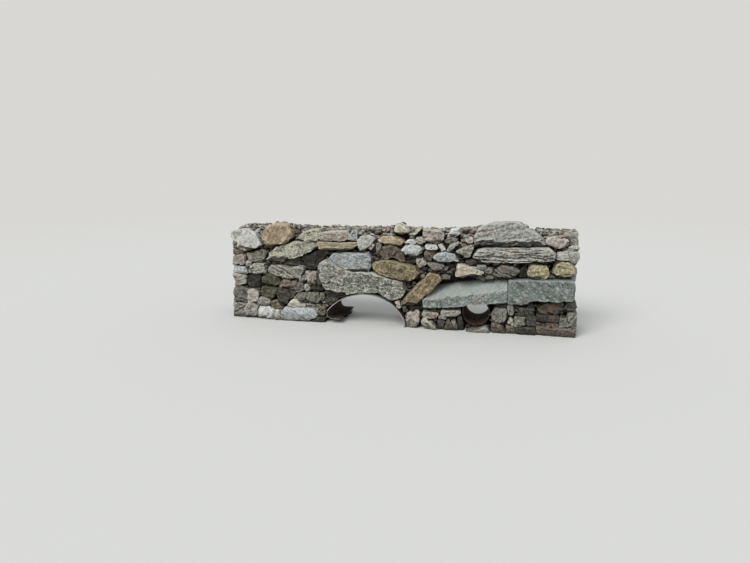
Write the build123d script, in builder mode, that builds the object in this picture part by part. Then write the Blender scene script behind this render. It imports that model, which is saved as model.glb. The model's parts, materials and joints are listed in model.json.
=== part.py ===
from build123d import *
from collections import namedtuple
from math import atan2, degrees, radians, sin, sqrt, tan
import os

# Dry-laid culvert headwall: a battered rubble wall with a corrugated pipe-arch
# and a smaller corrugated pipe through it.
# Millimetres. X runs along the wall, Y into it, Z up. The origin is on the ground
# line, in the middle of the footprint.

# Wall
wall_length = 6300
overall_depth = 1000
wall_height = 1905
batter = 0.10
toe_projection = 60
facing_tail = 440
back_inset = 40
back_skin = 210
end_width = 260
joint = 12
cope_rise = 205
right_cope_rise = 175
arch_shoulder = 160
side_shoulder = 110
full_reach = 200

# Pipe-arch barrel, measured on its inner corrugation crests
arch_x = -500
arch_rise = 570
arch_left_half = 735
arch_right_half = 715
crown_radius_left = 950
crown_radius_right = 780
corner_radius_left = 95
corner_radius_right = 200
invert_stub = 165
arch_recess = 30

# Side pipe
side_x = 1470
side_bore = 457
side_axis_height = 318
side_recess = 70
lip_clearance = 5

# Both pipes
corrugation_pitch = 68
corrugation_depth = 13
sheet = 3
pipe_clearance = 0.5

# Long lintel over the side pipe
side_lintel_slope = 24

# Rear face and ends
back_courses = 6
back_stone_length = 560
stone_length_swing = 0.22
half_bat = 0.55
joint_beat = 2.4
course_beat = 1.7
end_courses = 6

os.makedirs("parts", exist_ok=True)

# Planes across the wall's depth
front_limit = -overall_depth / 2
front_line = front_limit + toe_projection
back_face = overall_depth / 2 - back_inset
facing_back = front_line + facing_tail
hearting_back = back_face - back_skin
barrel_back = overall_depth / 2
hearting_top = wall_height - cope_rise
right_hearting_top = wall_height - right_cope_rise

# The setting-out drawing of the stones is in centimetres right of the arch's crown and
# above the ground. Its grid lines are the wall's ends, the sides of both pipes, the
# crown and the top. The built wall stretches the drawing bay by bay between them.
drawn_stations = (-265, -73, 71, 174, 220, 365)
drawn_lifts = (0, 57, 190)
built_stations = (
    -wall_length / 2,
    arch_x - arch_left_half,
    arch_x + arch_right_half,
    side_x - side_bore / 2,
    side_x + side_bore / 2,
    wall_length / 2,
)
built_lifts = (0, arch_rise, wall_height)


def stretch(value, drawn, built):
    """Carry one drawn coordinate to the built wall, straight between grid lines."""
    bay = 0
    while bay < len(drawn) - 2 and value > drawn[bay + 1]:
        bay += 1
    share = (value - drawn[bay]) / (drawn[bay + 1] - drawn[bay])
    return built[bay] + share * (built[bay + 1] - built[bay])


def on_wall(point):
    """Place a point of the setting-out drawing on the wall, as X and height."""
    return (
        stretch(point[0], drawn_stations, built_stations),
        stretch(point[1], drawn_lifts, built_lifts),
    )


def across(depth):
    """The upright plane at one depth of the wall, seen from the front."""
    return Plane.XZ.offset(-depth)


# Pipe-arch section


def arch_path(grow):
    """Draw the arch from the right leg's foot to the torn end of its invert."""
    right_corner_x = arch_right_half - corner_radius_right
    left_corner_x = arch_left_half - corner_radius_left
    right_centre = arch_rise - crown_radius_right
    left_centre = arch_rise - crown_radius_left
    right_reach = crown_radius_right - corner_radius_right
    left_reach = crown_radius_left - corner_radius_left
    right_corner_z = right_centre + sqrt(right_reach**2 - right_corner_x**2)
    left_corner_z = left_centre + sqrt(left_reach**2 - left_corner_x**2)
    right_turn = degrees(atan2(right_corner_z - right_centre, right_corner_x))
    left_turn = degrees(atan2(left_corner_z - left_centre, -left_corner_x))
    leg_x = arch_x + arch_right_half + grow
    left_x = arch_x - left_corner_x
    invert_z = left_corner_z - corner_radius_left - grow
    with BuildLine(mode=Mode.PRIVATE) as path:
        Line((leg_x, 0), (leg_x, right_corner_z))
        CenterArc((arch_x + right_corner_x, right_corner_z), corner_radius_right + grow, 0, right_turn)
        CenterArc((arch_x, right_centre), crown_radius_right + grow, right_turn, 90 - right_turn)
        CenterArc((arch_x, left_centre), crown_radius_left + grow, 90, left_turn - 90)
        CenterArc((left_x, left_corner_z), corner_radius_left + grow, left_turn, 270 - left_turn)
        Line((left_x, invert_z), (left_x + invert_stub, invert_z))
    return path.line


def arch_strip(grow, plane):
    """The sheet's section at one corrugation, grown outwards by the wave."""
    inner = arch_path(grow)
    outer = arch_path(grow + sheet)
    with BuildSketch(plane) as strip:
        with BuildLine():
            add(inner)
            add(outer)
            Line(inner @ 0, outer @ 0)
            Line(inner @ 1, outer @ 1)
        make_face()
    return strip.sketch


def corrugation_stations(length):
    """Depths along a barrel, half a wave apart, as many whole waves as fit."""
    waves = round(length / corrugation_pitch)
    return [length * step / (2 * waves) for step in range(2 * waves + 1)]


arch_front = front_line - arch_recess
with BuildPart() as arch_barrel:
    loft(
        [
            arch_strip(corrugation_depth * (step % 2), across(arch_front + along))
            for step, along in enumerate(corrugation_stations(barrel_back - arch_front))
        ],
        ruled=True,
    )
arch_barrel.part.label = "arch_barrel"
export_step(arch_barrel.part, "parts/arch_barrel.step")

# Side pipe: the same sheet, its wave turned round the pipe's axis
side_front = front_line + batter * side_axis_height + side_recess
with BuildPart() as side_barrel:
    with BuildSketch(Plane.XY.offset(side_axis_height)):
        with BuildLine():
            inner_wave = [
                (side_x + side_bore / 2 + corrugation_depth * (step % 2), side_front + along)
                for step, along in enumerate(corrugation_stations(barrel_back - side_front))
            ]
            outer_wave = [(x + sheet, y) for x, y in inner_wave]
            Polyline(*inner_wave, *reversed(outer_wave), close=True)
        make_face()
    revolve(axis=Axis((side_x, 0, side_axis_height), (0, 1, 0)))
side_barrel.part.label = "side_barrel"
export_step(side_barrel.part, "parts/side_barrel.step")

# The room that the stonework leaves round each barrel
crest = corrugation_depth + sheet + pipe_clearance
with BuildSketch() as arch_room:
    with BuildLine():
        add(arch_path(crest))
        room_foot = arch_path(crest) @ 0
        room_tear = arch_path(crest) @ 1
        Polyline(room_tear, (room_tear.X, -joint), (room_foot.X, -joint), room_foot)
    make_face()
with BuildSketch() as side_room:
    with Locations((side_x, side_axis_height)):
        Circle(side_bore / 2 + crest)
side_ring = side_room.sketch
rooms = [arch_room.sketch, side_ring]

# Hearting: the packed rubble mass that the facing stones tail into


def hearting(left, right, top):
    """One block of hearting between two uprights, open round the barrels."""
    with BuildPart() as block:
        with BuildSketch(across(facing_back)):
            with Locations(((left + right) / 2, top / 2)):
                Rectangle(right - left, top)
            for room in rooms:
                add(room, mode=Mode.SUBTRACT)
        extrude(amount=facing_back - hearting_back)
    return block.part


hearting_stations = (
    -wall_length / 2 + end_width,
    arch_x - arch_left_half - arch_shoulder,
    arch_x + arch_right_half + arch_shoulder,
    side_x - side_bore / 2 - side_shoulder,
    side_x + side_bore / 2 + side_shoulder,
    wall_length / 2 - end_width,
)
hearting_tops = (hearting_top, hearting_top, hearting_top, right_hearting_top, right_hearting_top)
hearting_names = (
    "left_hearting",
    "arch_hearting",
    "pier_hearting",
    "side_pipe_hearting",
    "right_hearting",
)
for bay, name in enumerate(hearting_names):
    block = hearting(hearting_stations[bay], hearting_stations[bay + 1], hearting_tops[bay])
    block.label = name
    export_step(block, f"parts/{name}.step")

# Facing stones. Each one has how proud of the batter its face stands, how far the face
# leans back and turns to the right in degrees, how deep its arrises are broken, and its
# outline on the setting-out drawing. The large stones are laid first, and each later
# stone is trimmed to those round it, with a joint between.
Stone = namedtuple("Stone", "proud lean turn arris outline")

facing = {
    # Large stones
    "arch_lintel": [
        Stone(110, -3, 2, 40, [
            (-92, 102), (-88, 111), (-78, 116), (-55, 106), (-28, 97), (8, 97), (29, 92),
            (66, 81), (72, 68), (66, 54), (50, 48), (0, 58), (-30, 55), (-79, 65)]),
    ],
    "toe_block": [
        Stone(full_reach, 0, 0, 45, [
            (-165, 0), (-164, 19), (-156, 25), (-120, 25), (-101, 24), (-93, 18), (-94, 9),
            (-104, 5), (-114, 0)]),
    ],
    "lintel_cap": [
        Stone(75, 6, -4, 22, [
            (-74, 117), (-62, 129), (-45, 130), (-20, 130), (1, 132), (8, 120), (8, 107),
            (4, 98), (-23, 97), (-52, 105)]),
    ],
    "mossy_bearer": [
        Stone(90, 14, 3, 35, [
            (8, 107), (13, 116), (38, 119), (64, 114), (88, 109), (96, 99), (90, 88), (76, 84),
            (56, 86), (35, 93), (18, 99)]),
    ],
    "leaning_brace": [
        Stone(70, 4, 8, 30, [
            (68, 52), (90, 77), (113, 99), (129, 96), (135, 88), (115, 65), (100, 50), (86, 40),
            (72, 40)]),
    ],
    "squared_block": [
        Stone(50, 1, -2, 18, [
            (251, 51), (251, 92), (290, 94), (324, 95), (357, 96), (359, 90), (359, 64), (330, 60),
            (300, 61), (288, 58), (278, 52)]),
    ],
    "laminated_slab": [
        Stone(70, 0, -3, 22, [
            (187, 129), (196, 142), (210, 146), (270, 148), (315, 150), (323, 142), (324, 129),
            (290, 127), (245, 122), (215, 121), (196, 125)]),
    ],
    "right_cope": [
        Stone(60, 22, -2, 60, [
            (190, 151), (189, 164), (195, 178), (215, 186), (240, 190), (264, 190), (278, 179),
            (296, 172), (308, 160), (309, 153), (250, 150)]),
    ],
    "lichen_stones": [
        Stone(60, 5, 3, 55, [
            (281, 103), (283, 116), (288, 121), (301, 122), (312, 119), (315, 110), (316, 101),
            (306, 96), (290, 97)]),
        Stone(60, 6, -4, 55, [
            (322, 106), (326, 122), (333, 128), (348, 126), (356, 120), (359, 111), (350, 104),
            (340, 101), (328, 103)]),
    ],
    "left_cope_slab": [
        Stone(90, 26, 8, 40, [
            (-249, 130), (-238, 127), (-218, 132), (-204, 140), (-220, 160), (-238, 169),
            (-265, 164), (-265, 150), (-250, 144)]),
    ],
    "round_boulder": [
        Stone(80, 10, 4, 85, [
            (-188, 133), (-170, 140), (-153, 147), (-143, 156), (-145, 165), (-156, 177),
            (-180, 180), (-194, 174), (-203, 160), (-205, 150), (-196, 138)]),
    ],
    "lichen_block": [
        Stone(70, 18, 3, 50, [
            (-193, 110), (-195, 117), (-190, 125), (-175, 136), (-160, 143), (-140, 147),
            (-118, 148), (-100, 145), (-91, 141), (-106, 133), (-117, 127), (-130, 120),
            (-152, 116), (-161, 110)]),
    ],
    "left_mid_block": [
        Stone(50, 4, -3, 25, [
            (-191, 90), (-190, 101), (-162, 102), (-134, 100), (-129, 104), (-121, 101),
            (-120, 90), (-125, 83), (-142, 77), (-157, 79), (-174, 84)]),
    ],
    "left_lower_blocks": [
        Stone(20, 0, 6, 20, [
            (-173, 59), (-152, 60), (-150, 50), (-152, 33), (-164, 30), (-174, 39), (-175, 48)]),
        Stone(30, 2, -3, 22, [(-205, 60), (-174, 60), (-176, 47), (-186, 38), (-199, 42), (-207, 50)]),
    ],
    "green_round_stone": [
        Stone(60, 8, 0, 60, [
            (-115, 44), (-112, 54), (-100, 55), (-91, 52), (-89, 42), (-96, 32), (-107, 33),
            (-115, 38)]),
    ],
    "tan_layers": [
        Stone(60, 12, 2, 25, [
            (-92, 151), (-93, 164), (-72, 168), (-40, 169), (-33, 162), (-40, 152), (-65, 150)]),
        Stone(90, 6, -2, 25, [
            (-95, 142), (-93, 149), (-70, 148), (-20, 149), (-18, 145), (-25, 140), (-35, 137),
            (-85, 135)]),
    ],
    "cope_boulders": [
        Stone(70, 6, 2, 45, [
            (-19, 153), (-13, 160), (2, 161), (12, 155), (6, 145), (-6, 135), (-12, 135), (-16, 145)]),
        Stone(50, 24, 0, 30, [
            (18, 154), (26, 160), (42, 161), (60, 156), (66, 151), (60, 147), (40, 148), (25, 150)]),
        Stone(80, 8, -3, 45, [
            (62, 138), (66, 145), (76, 148), (90, 148), (101, 142), (102, 139), (92, 131),
            (83, 128), (72, 131)]),
        Stone(50, 10, 4, 35, [
            (99, 162), (101, 175), (115, 174), (131, 173), (137, 168), (136, 160), (129, 153),
            (118, 151), (106, 157)]),
        Stone(40, 20, 4, 40, [
            (-142, 151), (-131, 160), (-118, 167), (-105, 171), (-92, 171), (-89, 163),
            (-90, 150), (-98, 146), (-118, 149)]),
    ],
    "brown_wedge": [
        Stone(30, -6, 3, 25, [
            (21, 129), (27, 144), (33, 147), (50, 146), (60, 139), (66, 128), (69, 118), (50, 120),
            (30, 122)]),
    ],
    "right_wedges": [
        Stone(50, 6, 5, 25, [
            (159, 94), (162, 117), (170, 116), (186, 113), (198, 110), (208, 106), (206, 100),
            (187, 98), (173, 95)]),
        Stone(20, 4, -5, 25, [
            (221, 102), (235, 117), (244, 118), (262, 114), (268, 108), (260, 101), (250, 97),
            (230, 98)]),
    ],
    "pier_block": [
        Stone(40, 2, 3, 28, [
            (72, 0), (72, 8), (73, 25), (80, 28), (88, 27), (90, 32), (96, 30), (98, 18), (97, 8),
            (92, 0)]),
    ],
    "side_pipe_block": [
        Stone(20, 0, -3, 22, [
            (225, 20), (225, 33), (230, 43), (247, 43), (250, 38), (252, 25), (242, 20), (233, 18)]),
    ],
    "pale_green_wedge": [
        Stone(60, 6, 0, 25, [
            (120, 129), (126, 134), (140, 137), (156, 133), (162, 125), (164, 121), (130, 120),
            (123, 123)]),
    ],
    "side_lintel": [
        Stone(70, 2, -2, 30, [
            (102, 51), (107, 37), (130, 39), (154, 42), (187, 47), (213, 51), (238, 54),
            (249, 55), (249, 92), (218, 92), (170, 84), (120, 78)]),
    ],
    # Smaller rubble, region by region
    "left_low_stones": [
        Stone(10, 0, 4, 30, [(-265, 0), (-265, 28), (-240, 26), (-238, 0)]),
        Stone(30, 3, -4, 25, [(-237, 0), (-239, 25), (-225, 29), (-212, 24), (-212, 0)]),
        Stone(60, 8, 6, 50, [(-211, 0), (-210, 24), (-190, 24), (-180, 19), (-179, 6), (-181, 0)]),
        Stone(70, 6, -6, 35, [(-178, 0), (-178, 18), (-167, 19), (-166, 6), (-167, 0)]),
        Stone(30, 0, 5, 15, [(-99, 3), (-96, 9), (-80, 8), (-79, 0), (-110, 0)]),
        Stone(0, 2, 3, 25, [(-265, 29), (-265, 56), (-248, 60), (-233, 54), (-235, 29)]),
        Stone(20, 0, -3, 25, [(-234, 29), (-232, 53), (-222, 56), (-213, 50), (-212, 28)]),
        Stone(60, 16, 4, 25, [(-211, 30), (-210, 40), (-189, 39), (-186, 30), (-190, 26), (-206, 26)]),
        Stone(20, 8, -8, 20, [(-185, 25), (-185, 34), (-176, 37), (-166, 30), (-165, 20), (-178, 20)]),
        Stone(-20, 0, 6, 20, [(-151, 59), (-140, 58), (-137, 52), (-142, 44), (-150, 40)]),
        Stone(20, 18, 4, 18, [(-144, 43), (-130, 52), (-115, 53), (-116, 45), (-125, 36), (-133, 41)]),
        Stone(50, 12, 2, 22, [
            (-152, 28), (-140, 41), (-134, 41), (-126, 33), (-118, 30), (-119, 25), (-143, 26)]),
        Stone(0, 6, 0, 12, [(-117, 31), (-89, 33), (-87, 26), (-93, 20), (-101, 25), (-117, 26)]),
        Stone(10, 4, 5, 18, [(-88, 43), (-89, 54), (-82, 53), (-80, 44), (-84, 38)]),
        Stone(30, 6, 8, 22, [(-91, 19), (-88, 30), (-77, 29), (-76, 20), (-80, 13), (-90, 13)]),
    ],
    "left_mid_stones": [
        Stone(0, 0, 4, 22, [(-265, 57), (-265, 85), (-248, 82), (-239, 80), (-238, 65), (-248, 61)]),
        Stone(-10, 0, -6, 22, [
            (-237, 70), (-230, 80), (-215, 83), (-209, 82), (-206, 61), (-222, 58), (-236, 64)]),
        Stone(20, -8, 3, 22, [
            (-205, 67), (-203, 82), (-190, 87), (-174, 80), (-168, 72), (-169, 65), (-185, 66)]),
        Stone(40, 6, 0, 20, [
            (-168, 69), (-161, 76), (-144, 74), (-135, 77), (-135, 69), (-149, 62), (-166, 62)]),
        Stone(30, 14, 3, 18, [
            (-149, 61), (-142, 68), (-133, 73), (-122, 71), (-121, 57), (-129, 55), (-143, 57)]),
        Stone(40, 4, -4, 24, [(-119, 60), (-118, 68), (-113, 70), (-108, 62), (-110, 55), (-116, 56)]),
        Stone(60, 3, 4, 38, [
            (-129, 79), (-123, 90), (-115, 93), (-109, 89), (-113, 80), (-121, 73), (-127, 74)]),
        Stone(50, 2, -3, 24, [(-112, 76), (-108, 92), (-97, 91), (-96, 76), (-100, 69), (-110, 68)]),
        Stone(10, 2, 6, 28, [(-95, 78), (-94, 93), (-88, 93), (-82, 78), (-84, 69), (-96, 69)]),
        Stone(0, 8, 3, 15, [(-107, 64), (-100, 68), (-90, 67), (-83, 64), (-86, 59), (-104, 59)]),
    ],
    "left_high_stones": [
        Stone(0, 4, 4, 18, [(-265, 86), (-264, 98), (-240, 96), (-234, 85), (-248, 83)]),
        Stone(20, 6, -4, 28, [
            (-265, 100), (-264, 118), (-256, 118), (-242, 122), (-238, 112), (-242, 99), (-260, 99)]),
        Stone(-10, 10, 6, 22, [(-265, 131), (-251, 130), (-251, 143), (-265, 149)]),
        Stone(20, 20, 3, 18, [(-264, 129), (-247, 127), (-244, 123), (-258, 120), (-264, 121)]),
        Stone(10, 4, -5, 26, [
            (-237, 124), (-222, 125), (-205, 131), (-196, 126), (-199, 113), (-206, 106),
            (-223, 106), (-231, 112)]),
        Stone(20, 6, 8, 18, [(-240, 104), (-234, 110), (-226, 106), (-230, 98), (-237, 96)]),
        Stone(40, 8, -3, 28, [(-232, 87), (-226, 100), (-217, 105), (-199, 104), (-196, 87), (-218, 85)]),
        Stone(-30, 0, 4, 15, [(-163, 108), (-134, 118), (-124, 108), (-136, 104), (-162, 103)]),
        Stone(-60, -8, 4, 14, [
            (-122, 102), (-131, 107), (-131, 115), (-118, 125), (-94, 131), (-80, 125), (-86, 112),
            (-92, 99), (-102, 96), (-117, 97)]),
    ],
    "left_haunch_stones": [
        Stone(20, -6, -3, 15, [
            (-77, 54), (-77, 62), (-70, 62), (-48, 59), (-33, 54), (-48, 46), (-70, 49)]),
        Stone(20, 6, 5, 15, [(-79, 40), (-78, 48), (-70, 47), (-50, 45), (-60, 36), (-68, 31)]),
        Stone(30, 10, 4, 12, [(-83, 37), (-79, 39), (-70, 31), (-71, 28), (-76, 29)]),
    ],
    "pier_stones": [
        Stone(60, 6, 4, 14, [(51, 44), (60, 48), (64, 38), (60, 31)]),
        Stone(50, 4, -6, 12, [(64, 47), (69, 50), (70, 43), (66, 41)]),
        Stone(20, 6, 6, 12, [(65, 37), (71, 38), (76, 31), (70, 28)]),
        Stone(-60, 0, 0, 15, [(78, 30), (80, 38), (98, 38), (100, 32)]),
        Stone(20, 10, 3, 18, [(101, 24), (103, 30), (118, 29), (131, 28), (130, 22), (118, 19), (111, 20)]),
        Stone(70, 12, -3, 20, [
            (101, 15), (106, 22), (111, 18), (113, 14), (121, 12), (126, 5), (130, 0), (108, 0)]),
        Stone(30, 6, 4, 18, [(130, 15), (139, 18), (144, 15), (143, 0), (132, 0)]),
        Stone(40, 14, -4, 12, [(133, 23), (136, 26), (144, 24), (146, 20), (134, 20)]),
        Stone(40, 6, 2, 16, [(135, 30), (138, 35), (169, 35), (170, 30), (164, 26), (142, 25)]),
        Stone(50, 10, 4, 15, [(145, 19), (152, 18), (160, 5), (163, 0), (144, 0)]),
        Stone(40, 8, -4, 12, [(154, 16), (161, 17), (165, 8), (165, 0), (164, 0)]),
        Stone(-20, 0, 0, 15, [(166, 22), (171, 26), (174, 14), (178, 0), (166, 0)]),
    ],
    "right_low_stones": [
        Stone(70, 20, 3, 20, [(180, 0), (190, 3), (201, 3), (214, 8), (219, 6), (223, 0)]),
        Stone(30, 10, -4, 20, [(224, 0), (226, 16), (234, 16), (244, 12), (250, 0)]),
        Stone(20, 8, 4, 18, [(251, 0), (250, 14), (262, 12), (270, 0)]),
        Stone(10, 0, 3, 20, [(269, 34), (270, 44), (286, 47), (296, 44), (296, 35), (280, 32)]),
        Stone(10, 3, 6, 20, [(251, 40), (251, 49), (260, 49), (262, 40), (259, 31), (254, 32)]),
        Stone(-10, 0, 0, 10, [(232, 45), (231, 50), (249, 50), (249, 44)]),
        Stone(30, 12, 2, 20, [(264, 13), (262, 30), (279, 31), (283, 18), (276, 12)]),
        Stone(10, 6, -4, 22, [(284, 14), (280, 31), (296, 33), (299, 25), (298, 14)]),
        Stone(20, 8, 8, 14, [(253, 18), (256, 27), (261, 24), (262, 14)]),
        Stone(0, 6, 3, 14, [(301, 24), (300, 35), (335, 35), (336, 24)]),
        Stone(30, 6, -4, 28, [(337, 17), (338, 30), (349, 30), (352, 18), (345, 15)]),
        Stone(0, 0, 3, 20, [(344, 48), (348, 60), (362, 60), (364, 50), (356, 43), (347, 43)]),
        Stone(0, -2, -3, 24, [(301, 44), (312, 57), (342, 60), (343, 42), (330, 36), (305, 36)]),
        Stone(20, 8, 2, 20, [(300, 0), (300, 22), (335, 22), (336, 0)]),
        Stone(30, 10, 2, 15, [(271, 0), (265, 11), (283, 12), (298, 12), (299, 0)]),
        Stone(20, 8, -3, 20, [(337, 0), (338, 14), (365, 14), (365, 0)]),
        Stone(10, 4, -4, 22, [(353, 18), (350, 30), (352, 41), (365, 42), (365, 16)]),
    ],
    "right_high_stones": [
        Stone(40, 16, -3, 35, [
            (309, 162), (311, 167), (322, 168), (335, 163), (341, 159), (338, 151), (326, 149),
            (318, 153), (310, 156)]),
        Stone(20, 8, -3, 25, [
            (328, 131), (329, 141), (345, 145), (362, 144), (364, 134), (359, 124), (350, 129)]),
        Stone(20, 14, -5, 20, [(344, 146), (349, 153), (360, 154), (364, 148)]),
        Stone(0, 6, 3, 12, [(196, 115), (210, 116), (212, 111), (206, 108), (197, 111)]),
        Stone(-10, 6, 4, 14, [(209, 106), (213, 111), (221, 112), (223, 102), (212, 103)]),
        Stone(-60, 0, 4, 14, [(269, 98), (268, 110), (278, 118), (281, 108), (279, 98)]),
    ],
    "centre_cope_stones": [
        Stone(30, 16, 4, 18, [(-37, 153), (-29, 169), (-21, 170), (-20, 152)]),
        Stone(50, 10, -4, 14, [(2, 140), (9, 148), (13, 144), (6, 137)]),
        Stone(0, 4, 6, 16, [(15, 148), (23, 148), (26, 138), (23, 130), (17, 134)]),
        Stone(20, 26, 3, 18, [(68, 150), (73, 156), (80, 157), (86, 154), (86, 150)]),
        Stone(0, 28, 4, 35, [(47, 170), (50, 180), (58, 183), (66, 179), (74, 170), (62, 166)]),
        Stone(0, 20, -5, 18, [(81, 166), (90, 179), (96, 178), (90, 168), (85, 165)]),
        Stone(40, 18, 2, 12, [(104, 144), (104, 149), (123, 149), (127, 143), (118, 141), (108, 141)]),
        Stone(40, 20, 6, 14, [(127, 149), (133, 151), (140, 141), (133, 138)]),
        Stone(50, 18, -8, 14, [(143, 140), (148, 149), (161, 156), (164, 153), (154, 143), (148, 138)]),
        Stone(60, 12, 5, 25, [
            (159, 139), (170, 145), (187, 151), (189, 149), (187, 138), (180, 129), (170, 132)]),
        Stone(-10, 2, 5, 16, [(104, 124), (104, 138), (121, 138), (128, 131), (120, 127), (115, 121)]),
        Stone(30, 12, -3, 15, [(109, 117), (133, 116), (138, 113), (134, 106), (124, 105), (112, 112)]),
        Stone(20, 10, 4, 18, [(89, 123), (101, 125), (107, 116), (100, 108), (90, 111)]),
        Stone(0, 24, 3, 28, [(143, 164), (148, 176), (162, 177), (166, 168), (156, 164)]),
        Stone(10, 18, -4, 20, [(173, 160), (180, 164), (187, 162), (186, 153), (180, 152)]),
        Stone(-10, 14, 4, 15, [(138, 154), (142, 163), (156, 163), (160, 158), (148, 151)]),
        Stone(10, 16, -3, 15, [(88, 150), (88, 160), (98, 161), (104, 156), (99, 150)]),
    ],
}

laid = list(rooms)


def trimmed(outline, spared):
    """Cut one outline clear of the pipes, unless spared, and of the stones laid before it."""
    with BuildSketch() as face:
        Polygon(*[on_wall(point) for point in outline], align=None)
        bounds = face.sketch.bounding_box()
        for earlier in laid:
            if earlier is spared:
                continue
            other = earlier.bounding_box()
            apart_x = other.min.X > bounds.max.X or other.max.X < bounds.min.X
            apart_z = other.min.Y > bounds.max.Y or other.max.Y < bounds.min.Y
            if not (apart_x or apart_z):
                add(earlier, mode=Mode.SUBTRACT)
    kept = face.sketch.faces().sort_by(SortBy.AREA)[-1]
    with BuildSketch() as with_joint:
        add(kept)
        offset(amount=joint, kind=Kind.INTERSECTION)
    laid.append(with_joint.sketch)
    return kept


def lay(stone, spared=None):
    """Make one facing stone, from its tail on the hearting to its broken arrises."""
    outline = trimmed(stone.outline, spared)
    bounds = outline.bounding_box()
    middle_x = (bounds.min.X + bounds.max.X) / 2
    middle_z = (bounds.min.Y + bounds.max.Y) / 2
    face_y = max(front_limit, front_line + batter * middle_z - stone.proud)
    face_normal = (tan(radians(stone.turn)), -1, batter + tan(radians(stone.lean)))
    rim_y = face_y + stone.arris
    rims = [
        ((bounds.min.X, rim_y, middle_z), (-1, -1, 0)),
        ((bounds.max.X, rim_y, middle_z), (1, -1, 0)),
        ((middle_x, rim_y, bounds.min.Y), (0, -1, -1)),
        ((middle_x, rim_y, bounds.max.Y), (0, -1, 1)),
    ]
    with BuildPart() as body:
        with BuildSketch(across(facing_back)):
            add(outline)
        extrude(amount=facing_back - front_limit)
        if stone.proud < full_reach:
            split(bisect_by=Plane((middle_x, face_y, middle_z), z_dir=face_normal), keep=Keep.BOTTOM)
        for origin, normal in rims:
            split(bisect_by=Plane(origin, z_dir=normal), keep=Keep.BOTTOM)
    return body.part


# The long lintel's upper bed slopes up into the wall from its front edge. Its front lip
# passes before the side pipe, whose crown has a pocket in the lintel's underside.
bed_left = on_wall((102, 52))
bed_right = on_wall((249, 76))
bed_climb = (bed_right[1] - bed_left[1]) / (bed_right[0] - bed_left[0])
bed_front = front_line + batter * bed_left[1] - facing["side_lintel"][0].proud
lintel_bed = Plane(
    (bed_left[0], bed_front, bed_left[1]),
    z_dir=(-bed_climb, -tan(radians(side_lintel_slope)), 1),
)

for name, stones in facing.items():
    over_side_pipe = name == "side_lintel"
    with BuildPart() as group:
        for stone in stones:
            add(lay(stone, spared=side_ring if over_side_pipe else None))
        if over_side_pipe:
            split(bisect_by=lintel_bed, keep=Keep.BOTTOM)
            with BuildSketch(across(facing_back)):
                add(side_ring)
            extrude(amount=facing_back - side_front + lip_clearance, mode=Mode.SUBTRACT)
    group.part.label = name
    export_step(group.part, f"parts/{name}.step")

# Rear face: plain coursed rubble, each course breaking joint with the one below


def course_spans(start, end, length, shift):
    """Split one course into stones of about one length, with the joints shifted."""
    edges = [start]
    while edges[-1] < end:
        step = length * (1 + stone_length_swing * sin(joint_beat * len(edges) + course_beat * shift))
        if len(edges) == 1 and shift % 2:
            step *= half_bat
        edges.append(edges[-1] + step)
    if len(edges) > 2:
        edges.pop()
    edges[-1] = end
    return list(zip(edges[:-1], edges[1:]))


back_bays = {
    "back_left_stones": (hearting_stations[0], hearting_stations[1], hearting_top),
    "back_arch_stones": (hearting_stations[1], hearting_stations[2], hearting_top),
    "back_pier_stones": (hearting_stations[2], hearting_stations[3], hearting_top),
    "back_side_pipe_stones": (hearting_stations[3], hearting_stations[4], right_hearting_top),
    "back_right_stones": (hearting_stations[4], hearting_stations[5], right_hearting_top),
}
for name, (left, right, top) in back_bays.items():
    course = top / back_courses
    with BuildPart() as group:
        with BuildSketch(across(hearting_back)):
            for row in range(back_courses):
                low = row * course
                high = low + course - joint * (row < back_courses - 1)
                for start, end in course_spans(left, right, back_stone_length, row):
                    with Locations(((start + end) / 2, (low + high) / 2)):
                        Rectangle(end - start - joint, high - low)
            for room in rooms:
                add(room, mode=Mode.SUBTRACT)
        extrude(amount=hearting_back - back_face)
    group.part.label = name
    export_step(group.part, f"parts/{name}.step")

# Wall ends: through stones, laid flush with the hearting's ends
end_bays = {
    "left_end_stones": (-wall_length / 2, hearting_top),
    "right_end_stones": (wall_length / 2 - end_width, right_hearting_top),
}
for name, (left, top) in end_bays.items():
    course = top / end_courses
    with BuildPart() as group:
        for row in range(end_courses):
            low = row * course
            high = low + course - joint * (row < end_courses - 1)
            for start, end in course_spans(facing_back, back_face, (back_face - facing_back), row):
                with BuildSketch(Plane.XY.offset(low)):
                    with Locations((left + end_width / 2, (start + end) / 2)):
                        Rectangle(end_width, end - start - joint * (end < back_face))
                extrude(amount=high - low)
    group.part.label = name
    export_step(group.part, f"parts/{name}.step")
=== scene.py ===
import json
import math
import random
from collections import namedtuple

import bmesh
import bpy
import numpy as np
from bpy.props import FloatProperty, FloatVectorProperty, IntProperty, PointerProperty
from bpy.types import Operator, Panel, PropertyGroup
from mathutils import Euler, Matrix, Vector, bvhtree, noise


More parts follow.
